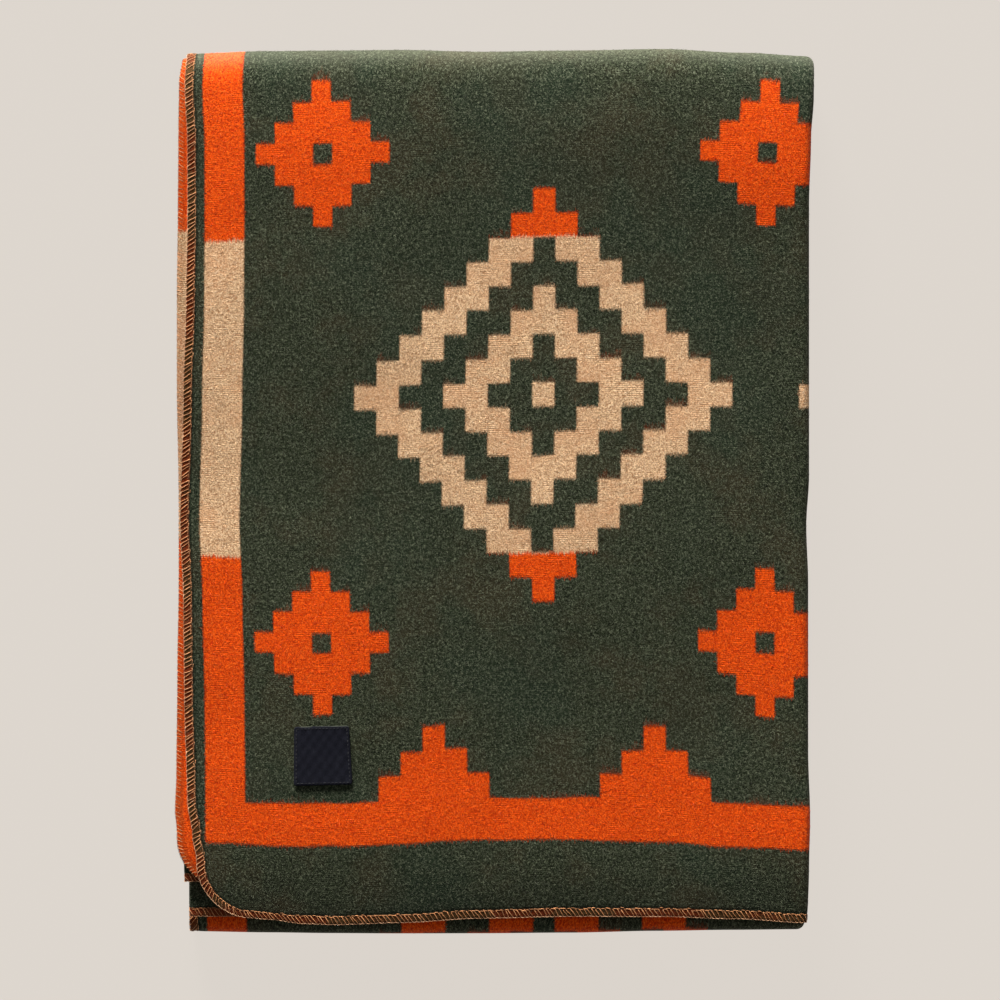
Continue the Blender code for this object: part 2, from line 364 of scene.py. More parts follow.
# How far short of their mean lines the two cut ends lie, by the share of the way across the cloth
END_SHORT_ROWS = table(
    "across first_end last_end",
    (0.0, 0.0038, 0.007),
    (0.012, 0.0028, 0.007),
    (0.035, 0.0004, 0.0068),
    (0.06, 0.0, 0.0064),
    (0.25, 0.002, 0.0025),
    (0.5, 0.027, 0.0),
    (0.75, 0.008, 0.004),
    (1.0, 0.023, 0.01),
)

# How far the weave leans away from the side hem and drops beside it, by the distance along the cloth
WARP_ROWS = table(
    "at lean drop",
    (0.0, 0.002, 0.0),
    (0.092, 0.0021, 0.0),
    (0.144, 0.0016, 0.0),
    (0.209, 0.0008, 0.001),
    (0.261, 0.0009, 0.0014),
    (0.34, 0.0007, 0.0022),
    (0.405, 0.0003, 0.003),
    (0.451, -0.0003, 0.0035),
    (0.52, -0.0003, 0.0035),
    (0.58, 0.0, 0.0035),
)

# How far the weave leans towards the end hem, by the distance across the cloth
WEFT_ROWS = table(
    "at lean",
    (0.0, 0.001),
    (0.12, 0.0),
    (0.19, -0.0006),
    (0.25, 0.0008),
    (0.31, 0.0014),
    (0.362, 0.0035),
    (0.4, 0.0037),
)

# Along the cloth, where that lean starts to fade and how long it takes
WEFT_HOLD = 0.10
WEFT_FADE = 0.20

# Soft rises and troughs of the stack, each a share of the height there
FORMS = table(
    "x y reach_x reach_y rise",
    (-0.2, 0.01, 0.11, 0.07, -0.045),
    (-0.09, 0.11, 0.1, 0.09, 0.03),
    (0.11, 0.14, 0.1, 0.08, -0.03),
    (0.08, -0.04, 0.12, 0.09, 0.035),
    (0.23, 0.0, 0.09, 0.26, -0.06),
    (-0.1, -0.11, 0.1, 0.08, 0.015),
    (0.06, -0.19, 0.1, 0.08, -0.025),
    (-0.23, -0.19, 0.09, 0.13, -0.06),
    (-0.23, 0.22, 0.09, 0.12, -0.05),
    (0.0, 0.29, 0.6, 0.036, -0.115),
    (0.0, -0.3, 0.6, 0.045, -0.07),
)

# Slight unevenness of the layers: each is a wave across the stack, a share of the height there
RIPPLES = table(
    "turn length phase share",
    (0.15, 0.155, 0.3, 0.0036),
    (0.62, 0.118, 2.1, 0.0028),
    (-0.48, 0.094, 4.4, 0.0024),
    (1.32, 0.081, 1.2, 0.002),
    (-1.11, 0.069, 5.5, 0.0015),
    (1.74, 0.062, 3.3, 0.0012),
)


def smooth(share):
    """Eases shares from 0 to 1 so that they leave and arrive level."""
    share = np.clip(share, 0.0, 1.0)
    return share * share * (3.0 - 2.0 * share)


def between(rows, column, at):
    """The values in one column of a table at places between its rows."""
    marks = np.array([row[0] for row in rows])
    values = np.array([getattr(row, column) for row in rows])
    at = np.clip(at, marks[0], marks[-1])
    below = np.clip(np.searchsorted(marks, at, side="right") - 1, 0, len(marks) - 2)
    share = smooth((at - marks[below]) / (marks[below + 1] - marks[below]))
    return values[below] + (values[below + 1] - values[below]) * share


def follow(across, up, sections, along):
    """Where points lie on a row of folds, and which way the cloth's face looks there."""
    found = np.zeros((4, *along.shape))
    heading, passed = 0.0, 0.0
    for index, section in enumerate(sections):
        ahead = np.array((math.cos(heading), math.sin(heading)))
        normal = np.array((-ahead[1], ahead[0]))
        on = along >= passed if index else np.ones(along.shape, bool)
        mark = along[on] - passed
        found[0][on], found[1][on] = across + ahead[0] * mark, up + ahead[1] * mark
        found[2][on], found[3][on] = normal
        across, up = across + ahead[0] * section.run, up + ahead[1] * section.run
        passed += section.run
        if not section.turn:
            break
        reach = section.turn * section.radius
        centre = (across + normal[0] * reach, up + normal[1] * reach)
        on = along > passed
        angle = heading + section.turn * (along[on] - passed) / section.radius
        out = (-np.sin(angle), np.cos(angle))
        found[0][on], found[1][on] = centre[0] - out[0] * reach, centre[1] - out[1] * reach
        found[2][on], found[3][on] = out
        heading += section.turn * math.pi
        passed += section.radius * math.pi
        across, up = centre[0] + math.sin(heading) * reach, centre[1] - math.cos(heading) * reach
    return Folded(*found)


def corner_inset(along):
    """How far the round corners draw the side hem in at distances along the cloth."""
    left = np.clip(CORNER_RADIUS - np.minimum(along, LENGTH - along), 0.0, CORNER_RADIUS)
    return CORNER_RADIUS - np.sqrt(CORNER_RADIUS**2 - left**2)


def squeeze(u, v):
    """How far a point of the grid moves in from its side hem near the round corners."""
    share = np.clip(1.0 - np.minimum(u, WIDTH - u) / EDGE_BAND, 0.0, None)
    return share * corner_inset(v)


def true_across(u, v):
    """The true distances across the flat cloth of points of its grid."""
    return u + np.where(u < WIDTH / 2, 1.0, -1.0) * squeeze(u, v)


def hem_shift(u, v):
    """How far points of the cloth move across the blanket as its side hem strays."""
    shift = squeeze(u, v)
    for column, distance, section in (
        ("side_hem", u, CROSS_SECTIONS[0]),
        ("left_fold", abs(u - WIDTH / 2), CROSS_SECTIONS[1]),
        ("second_hem", WIDTH - u, CROSS_SECTIONS[-1]),
    ):
        share = np.clip(1.0 - distance / section.run, 0.0, None)
        shift = shift + share * between(HEM_ROWS, column, v)
    return shift


def end_shift(u, v, x):
    """How far points move along the blanket as the cut end of their bundle strays."""
    across = u / WIDTH
    first = np.clip(1.0 - v / LENGTH_SECTIONS[0].run, 0.0, None)
    last = np.clip(1.0 - (LENGTH - v) / LENGTH_SECTIONS[-1].run, 0.0, None)
    shown = between(END_ROWS, "end_hem", x) + between(END_SHORT_ROWS, "first_end", across)
    return first * shown + last * between(END_SHORT_ROWS, "last_end", across)


def settled(x, y, z):
    """The places of points once the stack's folds stray and its layers rise and sink."""
    right = smooth(x / RIGHT_TURN_X)
    top = smooth(y / TOP_TURN_Y)
    bottom = smooth(y / BOTTOM_TURN_Y)
    lower = bottom * (1.0 - smooth(z / (PITCH * PLIES_IN_BUNDLE * (BUNDLES - 1))))
    across = right * between(RIGHT_ROWS, "fold", y)
    along = top * between(END_ROWS, "top_fold", x) + lower * between(END_ROWS, "bottom_fold", x)
    rise = np.ones_like(x)
    for form in FORMS:
        far = ((x - form.x) / form.reach_x) ** 2 + ((y - form.y) / form.reach_y) ** 2
        rise += form.rise * np.exp(-far)
    for ripple in RIPPLES:
        way = x * math.cos(ripple.turn) + y * math.sin(ripple.turn)
        rise += ripple.share * np.sin(2 * math.pi * way / ripple.length + ripple.phase)
    return np.stack((x + across - MIDDLE_X, y + along, z * rise), axis=-1)


def cloth_points(u, v, depth):
    """Carries points of the flat cloth through both rows of folds."""
    u, v, depth = np.broadcast_arrays(np.asarray(u, float), v, depth)
    cross = follow(SIDE_HEM_X, BUNDLE_HALF, CROSS_SECTIONS, u)
    row = follow(END_HEM_Y, TOP_BUNDLE_Z, LENGTH_SECTIONS, np.asarray(v, float))
    lift = cross.up + depth * cross.normal_up
    x = cross.across + depth * cross.normal_across + hem_shift(u, v)
    y = row.across + lift * row.normal_across + end_shift(u, v, x)
    z = row.up + lift * row.normal_up
    return settled(x, y, z)


def grid_across(p, q):
    """The grid's distance across for a true distance across, which the corners have squeezed."""
    inset = corner_inset(np.clip(q, 0.0, LENGTH))
    stretch = 1.0 - inset / EDGE_BAND
    near = (p - inset) / stretch
    far = WIDTH - (WIDTH - p - inset) / stretch
    return np.where(p < EDGE_BAND, near, np.where(p > WIDTH - EDGE_BAND, far, p))


def edge_distance(p, q):
    """How far points of the flat cloth are from its cut edge, with its round corners."""
    a = np.minimum(p, WIDTH - p)
    b = np.minimum(q, LENGTH - q)
    nearest = np.minimum(a, b)
    from_centre = np.hypot(np.clip(CORNER_RADIUS - a, 0, None), np.clip(CORNER_RADIUS - b, 0, None))
    in_corner = np.minimum(nearest, CORNER_RADIUS - from_centre)
    return np.where(nearest < CORNER_RADIUS, in_corner, nearest)


def cut_away(u, v):
    """How much wider than a round corner the cut is at the corner that shows."""
    share = np.clip(1.0 - u / CROSS_SECTIONS[0].run, 0.0, None)
    near = between(HEM_ROWS, "side_hem", v) - between(HEM_ROWS, "side_hem", CUT_END)
    return np.where(v < CUT_END, share * near, 0.0)


def woven_place(p, u, v):
    """Where points lie in the weave, which runs a little askew to the cut edge that shows."""
    beside = np.clip(1.0 - u / CROSS_SECTIONS[0].run, 0.0, None)
    near_end = 1.0 - smooth((v - WEFT_HOLD) / WEFT_FADE)
    across = p + cut_away(u, v) - beside * between(WARP_ROWS, "lean", v)
    dropped = beside * between(WARP_ROWS, "drop", v)
    return across, v + dropped + near_end * between(WEFT_ROWS, "lean", u)


def half_thickness(p, q):
    """Half the cloth's thickness at points of the flat cloth."""
    marks, shares = zip(*HEM_PRESS)
    return PLY / 2 * np.interp(edge_distance(p, q), marks, shares)


# Nodes


def linear(red, green, blue):
    """A colour given in screen values from 0 to 255, as the shader reads it."""
    found = []
    for value in (red, green, blue):
        share = value / 255.0
        found.append(share / 12.92 if share <= 0.04045 else ((share + 0.055) / 1.055) ** 2.4)
    return (*found, 1.0)


class Value:
    """A value worked out by a material's nodes, and the sums that it takes part in."""

    def __init__(self, graph, socket):
        self.graph = graph
        self.socket = socket

    def __add__(self, other):
        return self.graph.math("ADD", self, other)

    def __sub__(self, other):
        return self.graph.math("SUBTRACT", self, other)

    def __rsub__(self, other):
        return self.graph.math("SUBTRACT", other, self)

    def __mul__(self, other):
        return self.graph.math("MULTIPLY", self, other)

    def __truediv__(self, other):
        return self.graph.math("DIVIDE", self, other)

    def __gt__(self, other):
        return self.graph.math("GREATER_THAN", self, other)

    def __lt__(self, other):
        return self.graph.math("LESS_THAN", self, other)


class Graph:
    """The nodes of one material, and short ways to add and join them."""

    def __init__(self, name):
        self.material = bpy.data.materials.new(name)
        self.material.use_nodes = True
        self.nodes = self.material.node_tree.nodes
        self.links = self.material.node_tree.links
        self.shader = self.nodes["Principled BSDF"]

    def feed(self, socket, value):
        """Joins a worked-out value to a socket, or sets it to a number or a screen colour."""
        if isinstance(value, Value):
            self.links.new(value.socket, socket)
        elif isinstance(value, tuple):
            socket.default_value = linear(*value)
        else:
            socket.default_value = value

    def node(self, kind, output, inputs, **settings):
        """Adds a node, sets it, feeds its inputs and takes up one of its outputs."""
        made = self.nodes.new(kind)
        for name, value in settings.items():
            setattr(made, name, value)
        for key, value in inputs.items():
            self.feed(made.inputs[key], value)
        return Value(self, made.outputs[output])

    def attribute(self, name, output="Fac"):
        return self.node("ShaderNodeAttribute", output, {}, attribute_name=name)

    def split(self, vector):
        node = self.nodes.new("ShaderNodeSeparateXYZ")
        self.feed(node.inputs[0], vector)
        return [Value(self, socket) for socket in node.outputs]

    def join(self, x, y, z):
        return self.node("ShaderNodeCombineXYZ", 0, {0: x, 1: y, 2: z})

    def math(self, operation, *values):
        return self.node("ShaderNodeMath", 0, dict(enumerate(values)), operation=operation)

    def step(self, value, low, high):
        """0 below low, 1 above high, and eased between them."""
        inputs = {"Value": value, "From Min": low, "From Max": high}
        return self.node("ShaderNodeMapRange", "Result", inputs, interpolation_type="SMOOTHSTEP")

    def mix(self, share, low, high, blend="MIX"):
        inputs = {0: share, 6: low, 7: high}
        return self.node("ShaderNodeMix", 2, inputs, data_type="RGBA", blend_type=blend)

    def layered(self, colour, *layers):
        """A colour with others laid over it: how much of each shows, and which it is."""
        for share, over in layers:
            colour = self.mix(share, colour, over)
        return colour

    def toned(self, colour, tone):
        """A colour made darker or lighter by a factor."""
        return self.mix(1.0, colour, self.join(tone, tone, tone), "MULTIPLY")

    def noise(self, vector, scale, detail=2.0, rough=0.5):
        inputs = {"Vector": vector, "Scale": scale, "Detail": detail, "Roughness": rough}
        return self.node("ShaderNodeTexNoise", "Fac", inputs)

    def bump(self, height, strength, distance):
        inputs = {"Height": height, "Strength": strength, "Distance": distance}
        self.feed(self.shader.inputs["Normal"], self.node("ShaderNodeBump", "Normal", inputs))

    def finish(self, colour, roughness, sheen=0.0, specular=0.3):
        self.feed(self.shader.inputs["Base Color"], colour)
        self.feed(self.shader.inputs["Roughness"], roughness)
        self.shader.inputs["Sheen Weight"].default_value = sheen
        self.shader.inputs["Sheen Roughness"].default_value = SHEEN_ROUGHNESS
        self.shader.inputs["Sheen Tint"].default_value = SHEEN_TINT
        self.shader.inputs["Specular IOR Level"].default_value = specular
        return self.material


# The pattern


def stepped(g, across, along, cell_across, cell_along):
    """The number of steps out from the middle of a stepped diamond."""
    return g.math("FLOOR", across / cell_across + 0.5) + g.math("FLOOR", along / cell_along + 0.5)


def distance_to_repeat(g, value, centre, repeat):
    """The distance from the nearest of a row of centres."""
    return g.math("ABSOLUTE", g.math("WRAP", value - centre, repeat / 2, -repeat / 2))


def border_stripe(in_across, in_along):
    """1 on the stripe that runs round the cloth inside its edge."""
    outer = (in_across > STRIPE_ACROSS[0]) * (in_along > STRIPE_ALONG[0])
    inner = (in_across > STRIPE_ACROSS[1]) * (in_along > STRIPE_ALONG[1])
    return outer - inner


def medallions(g, in_across, to_row):
    """1 on the nested stepped diamonds."""
    across = distance_to_repeat(g, in_across, MEDALLION_ACROSS, REPEAT_ACROSS)
    level = stepped(g, across, to_row, STEP_ACROSS, STEP_ALONG)
    band = g.math("FLOOR", (level + 1.0) * 0.5)
    even = g.math("MODULO", band, 2.0) < 0.5
    return even * (level < MEDALLION_STEPS) * (in_across > MEDALLIONS_START)


def corner_diamonds(g, in_across, to_row):
    """1 on the small hollow diamonds that stand between the medallions."""
    across = distance_to_repeat(g, in_across, MEDALLION_ACROSS + REPEAT_ACROSS / 2, REPEAT_ACROSS)
    along = g.math("ABSOLUTE", to_row - CORNER_ALONG)
    level = stepped(g, across, along, CORNER_STEP_ACROSS, CORNER_STEP_ALONG)
    return (level > 0.5) * (level < CORNER_STEPS)


def peaks(g, in_across, in_along):
    """1 on the stepped peaks that stand on the border stripe at the ends of the cloth."""
    across = distance_to_repeat(g, in_across, MEDALLION_ACROSS + REPEAT_ACROSS / 4, REPEAT_ACROSS / 2)
    up = (in_along - STRIPE_ALONG[1]) / STEP_ALONG
    level = g.math("FLOOR", across / STEP_ACROSS + 0.5) + g.math("FLOOR", up)
    return (in_along > STRIPE_ALONG[1]) * (in_across > MEDALLIONS_START) * (level < PEAK_STEPS)


def figure(g, across, along):
    """1 where the face of the cloth shows the colour, and 0 where it shows the green ground."""
    in_across = g.math("MINIMUM", across, WIDTH - across)
    in_along = g.math("MINIMUM", along, LENGTH - along)
    to_row = distance_to_repeat(g, in_along, MEDALLION_ALONG, REPEAT_ALONG)
    field = g.math("MAXIMUM", medallions(g, in_across, to_row), corner_diamonds(g, in_across, to_row))
    field = field * (in_across > FIELD_START)
    field = g.math("MAXIMUM", field, peaks(g, in_across, in_along))
    return g.math("MAXIMUM", field, border_stripe(in_across, in_along))


def woven_blocks(g, across, along, flat, face):
    """How much of the colour shows, how much haze lies past its blocks, and where it is tan."""
    stray_across = g.noise(g.join(across * 0.22, along, 0.0), TEETH) - 0.5
    stray_along = g.noise(g.join(across, along * 0.12, 0.0), TEETH, 2.0, 0.6) - 0.5
    drifted = along + (g.noise(flat, 30.0) - 0.5) * DRIFT

    moved_across = across + stray_across * STRAY_ACROSS
    moved_along = drifted + stray_along * STRAY_ALONG
    crisp = figure(g, moved_across, moved_along)
    loose = figure(g, across + stray_across * LOOSE_ACROSS, drifted + stray_along * LOOSE_ALONG)
    soft = crisp * (1.0 - LOOSE_SHARE) + loose * LOOSE_SHARE
    shown = g.math("ABSOLUTE", soft - (1.0 - face))

    hazy = figure(g, moved_across, drifted + stray_along * HAZE_ALONG - HAZE_ABOVE)
    patch = g.step(g.noise(flat, 48.0, 3.0, 0.6), 0.42, 0.66)
    haze = hazy * (1.0 - soft) * patch

    in_along = g.math("MINIMUM", moved_along, LENGTH - moved_along)
    from_tan = g.math("ABSOLUTE", in_along - MEDALLION_ALONG)
    return shown, haze, g.step(from_tan, TAN_HALF + TAN_BLEND, TAN_HALF - TAN_BLEND)


def streaks(g, across, along, turn, layer):
    """Noise drawn out in one direction, as lying fibres are."""
    cos, sin = math.cos(turn), math.sin(turn)
    ahead = across * cos + along * sin
    beside = along * cos - across * sin
    return g.noise(g.join(ahead * FIBRE_DRAWN, beside, layer), FIBRE_SCALE, 2.0, 0.6)


def lying_fibres(g, across, along):
    """The lightest and the darkest of several layers of lying fibres."""
    layers = [streaks(g, across, along, turn, float(k)) for k, turn in enumerate(FIBRE_TURNS)]
    lightest, darkest = layers[0], layers[0]
    for layer in layers[1:]:
        lightest = g.math("MAXIMUM", lightest, layer)
        darkest = g.math("MINIMUM", darkest, layer)
    return g.step(lightest, 0.59, 0.72), g.step(1.0 - darkest, 0.58, 0.71)


def ground_colour(g, flat, fine, fleck, hair, shade, haze):
    """Heathered dark green wool, in places brownish or bluish, and stained above the blocks."""
    patchy = g.noise(flat, 26.0, 4.0, 0.6)
    cloud = g.noise(flat, 10.0)
    return g.layered(
        g.mix(fine, GROUND_DEEP, GROUND_LIGHT),
        (g.step(patchy, 0.44, 0.64) * 0.5, GROUND_BROWN),
        (g.step(cloud, 0.46, 0.62) * 0.4, GROUND_BLUISH),
        (g.step(fleck, 0.50, 0.74) * 0.4, GROUND_HAIR),
        (haze * 0.5, GROUND_STAINED),
        (shade * 0.85, GROUND_DEEP),
        (hair * 0.78, GROUND_HAIR),
    )


def orange_colour(g, fine, fleck, hair, shade):
    """Bright orange wool with deeper specks and pale fibres."""
    return g.layered(
        g.mix(fine, ORANGE_DEEP, ORANGE_LIGHT),
        (g.step(fleck, 0.46, 0.72) * 0.4, ORANGE_LIGHT),
        (shade * 0.85, ORANGE_DEEP),
        (hair * 0.65, ORANGE_HAIR),
    )


def tan_colour(g, flat, fine, hair, shade):
    """Pale tan wool, warmer in patches."""
    patchy = g.noise(flat, 31.0, 4.0, 0.6)
    return g.layered(
        g.mix(fine, TAN_DEEP, TAN_LIGHT),
        (g.step(patchy, 0.44, 0.66) * 0.5, TAN_WARM),
        (shade * 0.8, TAN_DEEP),
        (hair * 0.65, TAN_HAIR),
    )


def hem_colour(g, flat, face, colour):
    """The wool under the overlock stitches, tinted brown and darkened with painted shade, with a painted
    shadow line beside them.
    """
    edge = g.attribute("edge_distance")
    # Painted shade under the stitches, mixed with a brown tint like the thread's
    tint_and_shade = (1.0 - g.step(edge, *HEM_SHADED_BAND)) * (face * HEM_FACE_MORE + HEM_SHARE)
    reddish = g.step(g.noise(flat, 40.0), 0.44, 0.56)
    # Painted shadow: a dark line on the face just beyond the stitches
    shadow_line = g.step(edge, *HEM_SHADOW_LINE[:2]) - g.step(edge, *HEM_SHADOW_LINE[2:])
    return g.layered(
        colour,
        (tint_and_shade, g.mix(reddish, HEM_OLIVE, HEM_RED)),
        (shadow_line * (face * 0.55), GROUND_DEEP),
    )


def wool_material():
    """Brushed two-sided wool: the face and the reverse change places in the same pattern."""
    g = Graph("brushed_wool")
    across, along, side = g.split(g.attribute("cloth_at", "Vector"))
    flat = g.join(across, along, side * 0.01)
    face = side > 0.0
    shown, haze, tan = woven_blocks(g, across, along, flat, face)
    hair, shade = lying_fibres(g, across, along)
    speck = g.noise(flat, 1250.0, 3.0, 0.7)
    fine = g.step(speck, 0.34, 0.68)
    fleck = g.noise(flat, 520.0, 3.0, 0.65)

    ground = ground_colour(g, flat, fine, fleck, hair, shade, haze)
    orange = orange_colour(g, fine, fleck, hair, shade)
    bright = g.mix(tan, orange, tan_colour(g, flat, fine, hair, shade))
    # Painted highlight: a pale colour over the top fold of the face stands in for its light and sheen
    fold_highlight = (g.step(along, *HIGHLIGHT_RISE) - g.step(along, *HIGHLIGHT_FALL)) * face
    colour = g.mix(fold_highlight * HIGHLIGHT_SHARE, g.mix(shown, ground, bright), HIGHLIGHT_COLOUR)
    colour = hem_colour(g, flat, face, colour)

    waves = g.math("SINE", along * RIBS + fleck * 5.0)
    ribs = waves * g.step(g.noise(flat, 70.0), 0.46, 0.66)
    # Painted shade: the wool is darker where the blocks' colours blend at their edges, as in a groove
    groove_shade = shown * (1.0 - shown)
    # Painted shade: the wool darkens towards the end hem that shows, on both sides of the cloth
    end_shade = 1.0 - g.step(along, *END_SHADE_RANGE)
    tone = g.attribute("strand") * 0.8 + 1.0 + ribs * 0.12 - groove_shade * 1.1 - end_shade * END_SHADE_SHARE
    height = speck * 0.9 + hair * 0.35 - shade * 0.35 + ribs * 0.12 + fleck * 0.7
    g.bump(height, 0.8, 0.0007)
    return g.finish(g.toned(colour, tone), speck * 0.14 + 0.84, sheen=WOOL_SHEEN, specular=0.05)


def thread_material(name, dark, light, pale):
    """Spun thread: a twist that runs along it, and stitches that differ a little in colour."""
    g = Graph(name)
    length, turn, chance = g.split(g.attribute("thread_at", "Vector"))
    twist = g.math("SINE", length * (2 * math.pi / THREAD_TWIST) + turn * (2 * math.pi)) * 0.5 + 0.5
    place = g.node("ShaderNodeTexCoord", "Object", {})
    fuzz = g.noise(place, 2600.0, 2.0, 0.6)
    body = g.mix(g.step(twist * 0.6 + fuzz * 0.5, 0.15, 0.85), dark, light)
    body = g.mix(chance * 0.55, body, pale)
    worn = g.step(g.noise(place, 420.0, 2.0, 0.6), 0.40, 0.62)
    g.bump(twist + fuzz * 0.8, 0.5, 0.00012)
    return g.finish(g.toned(body, worn * 0.46 + 0.62), fuzz * 0.25 + 0.55, sheen=0.1, specular=0.35)


def label_material():
    """A dense woven label in dark navy: fine cross ribs, a satin ground and a paler, ragged line along its
    upper edge.
    """
    g = Graph("woven_label")
    across, up, edge = g.split(g.attribute("label_at", "Vector"))
    place = g.join(across, up, 0.0)
    fuzz = g.noise(place, 1500.0, 2.0, 0.6)
    loose = fuzz * 1.2
    warp = g.math("SINE", across * (2 * math.pi / LABEL_WARP) + loose)
    weft = g.math("SINE", up * (2 * math.pi / LABEL_WEFT) + loose)
    weave = warp * weft
    worn = g.step(g.noise(place, 140.0, 3.0, 0.6), 0.5, 0.75)
    rim = 1.0 - g.step(edge, 0.0001, 0.0006)
    upper = g.step(up, 0.46 * LABEL_HEIGHT, 0.49 * LABEL_HEIGHT)
    ragged = g.step(g.noise(place, 110.0), 0.36, 0.60)
    colour = g.layered(
        g.mix(g.step(weave * 0.12 + fuzz * 0.8, 0.05, 0.75), LABEL_DEEP, LABEL_LIGHT),
        (worn * 0.25, LABEL_WORN),
        (rim * (upper * ragged), LABEL_EDGE),
    )
    g.bump(weave * 0.25 + fuzz * 0.8, 0.4, 0.00010)
    return g.finish(colour, fuzz * 0.18 + 0.80, specular=0.04)


def floor_material():
    """A plain pale ground that glows evenly, as a lit studio table does."""
    g = Graph("pale_floor")
    colour = linear(*FLOOR_COLOUR)
    g.shader.inputs["Emission Color"].default_value = colour
    g.shader.inputs["Emission Strength"].default_value = FLOOR_GLOW
    dim = [(1.0 - FLOOR_GLOW) * part for part in colour[:3]]
    return g.finish([*dim, 1.0], 0.95, specular=0.0)


# Meshes


def put(name, points, faces, material):
    """A smooth mesh object made of points and faces."""
    data = bpy.data.meshes.new(name)
    data.from_pydata(points, [], faces)
    data.update()
    data.shade_smooth()
    data.materials.append(material)
    made = bpy.data.objects.new(name, data)
    bpy.context.scene.collection.objects.link(made)
    return made


def note(thing, name, values):
    """Stores one value or one vector at every point of a mesh."""
    kind = "FLOAT_VECTOR" if values.ndim == 2 else "FLOAT"
    field = thing.data.attributes.new(name, kind, "POINT")
    field.data.foreach_set("vector" if values.ndim == 2 else "value", values.astype(np.float32).ravel())


def slab_faces(rows, columns):
    """The faces of a closed slab whose upper grid of points comes first and whose lower one follows."""
    at = np.arange(rows * columns).reshape(rows, columns)
    low = at + rows * columns
    over = np.stack((at[:-1, :-1], at[:-1, 1:], at[1:, 1:], at[1:, :-1]), -1).reshape(-1, 4)
    under = np.stack((low[:-1, :-1], low[1:, :-1], low[1:, 1:], low[:-1, 1:]), -1).reshape(-1, 4)
    first = np.stack((at[0, :-1], low[0, :-1], low[0, 1:], at[0, 1:]), -1)
    last = np.stack((at[-1, :-1], at[-1, 1:], low[-1, 1:], low[-1, :-1]), -1)
    left = np.stack((at[:-1, 0], at[1:, 0], low[1:, 0], low[:-1, 0]), -1)
    right = np.stack((at[:-1, -1], low[:-1, -1], low[1:, -1], at[1:, -1]), -1)
    return np.concatenate((over, under, first, last, left, right))


def marks_along(sections):
    """The distances at which the cloth's mesh has a line of points."""
    found = [0.0, *EDGE_MARKS]
    passed = 0.0
    for index, section in enumerate(sections):
        step = COARSE_STEP if index else FINE_STEP
        start = EDGE_MARKS[-1] if index == 0 else 0.0
        end = section.run - (EDGE_MARKS[-1] if index == len(sections) - 1 else 0.0)
        count = max(int(round((end - start) / step)), 1)
        found.extend(passed + np.linspace(start, end, count + 1)[1:])
        passed += section.run
        if section.turn:
            steps = 8 if section.radius < PITCH else 14
            found.extend(passed + section.radius * math.pi * k / steps for k in range(1, steps + 1))
            passed += section.radius * math.pi
    found.extend(passed - mark for mark in reversed(EDGE_MARKS[:-1]))
    found.append(passed)
    return np.array(found)


def add_bake_map(cloth, u, v):
    """A flat map of the cloth, with the most room for the ply that shows."""
    rows, columns = u.shape
    across = np.interp(u, (0.0, SHOWN_ACROSS, WIDTH), (0.0, MAP_SHOWN, 1.0)).ravel()
    along = np.interp(v, (0.0, SHOWN_ALONG, LENGTH), (0.0, MAP_SHOWN, 1.0)).ravel()
    corners = np.empty(len(cloth.data.loops), np.int32)
    cloth.data.loops.foreach_get("vertex_index", corners)
    under, at = corners >= u.size, corners % u.size
    place = np.empty((len(corners), 2))
    face = np.interp(across[at], (0.0, 1.0), MAP_FACE)
    reverse = MAP_REVERSE[0] + (MAP_REVERSE[1] - MAP_REVERSE[0]) * across[at]
    place[:, 0] = np.where(under, reverse, face)
    place[:, 1] = along[at]
    start = 8 * (rows - 1) * (columns - 1)
    sides = ((columns - 1, across), (columns - 1, across), (rows - 1, along), (rows - 1, along))
    for k, (count, length) in enumerate(sides):
        run = slice(start, start + 4 * count)
        place[run, 0] = MAP_SIDES + MAP_SIDE_STEP * k + MAP_SIDE_WIDE * under[run]
        place[run, 1] = length[at[run]]
        start += 4 * count
    place[:, 1] = MAP_MARGIN + (1.0 - 2.0 * MAP_MARGIN) * place[:, 1]
    layer = cloth.data.uv_layers.new(name=MAP_NAME)
    layer.data.foreach_set("uv", place.astype(np.float32).ravel())


def build_cloth(material):
    """The whole blanket as one folded sheet, pressed thin along its overlocked edge."""
    u, v = np.meshgrid(marks_along(CROSS_SECTIONS), marks_along(LENGTH_SECTIONS))
    p = true_across(u, v)
    half = half_thickness(p, v)
    face = cloth_points(u, v, half)
    reverse = cloth_points(u, v, -half)
    points = np.concatenate((face.reshape(-1, 3), reverse.reshape(-1, 3)))
    cloth = put("folded_cloth", points, slab_faces(*u.shape), material)
    across, along = woven_place(p, u, v)
    place = np.stack((across.ravel(), along.ravel(), np.ones(p.size)), -1)
    under = place * (1.0, 1.0, -1.0)
    note(cloth, "cloth_at", np.concatenate((place, under)))
    edge = edge_distance(p, v).ravel()
    note(cloth, "edge_distance", np.concatenate((edge, edge)))
    note(cloth, "strand", np.zeros(2 * p.size))
    add_bake_map(cloth, u, v)
    return cloth


def unit(vectors):
    """The same directions with a length of one."""
    return vectors / np.maximum(np.linalg.norm(vectors, axis=-1, keepdims=True), 1e-12)


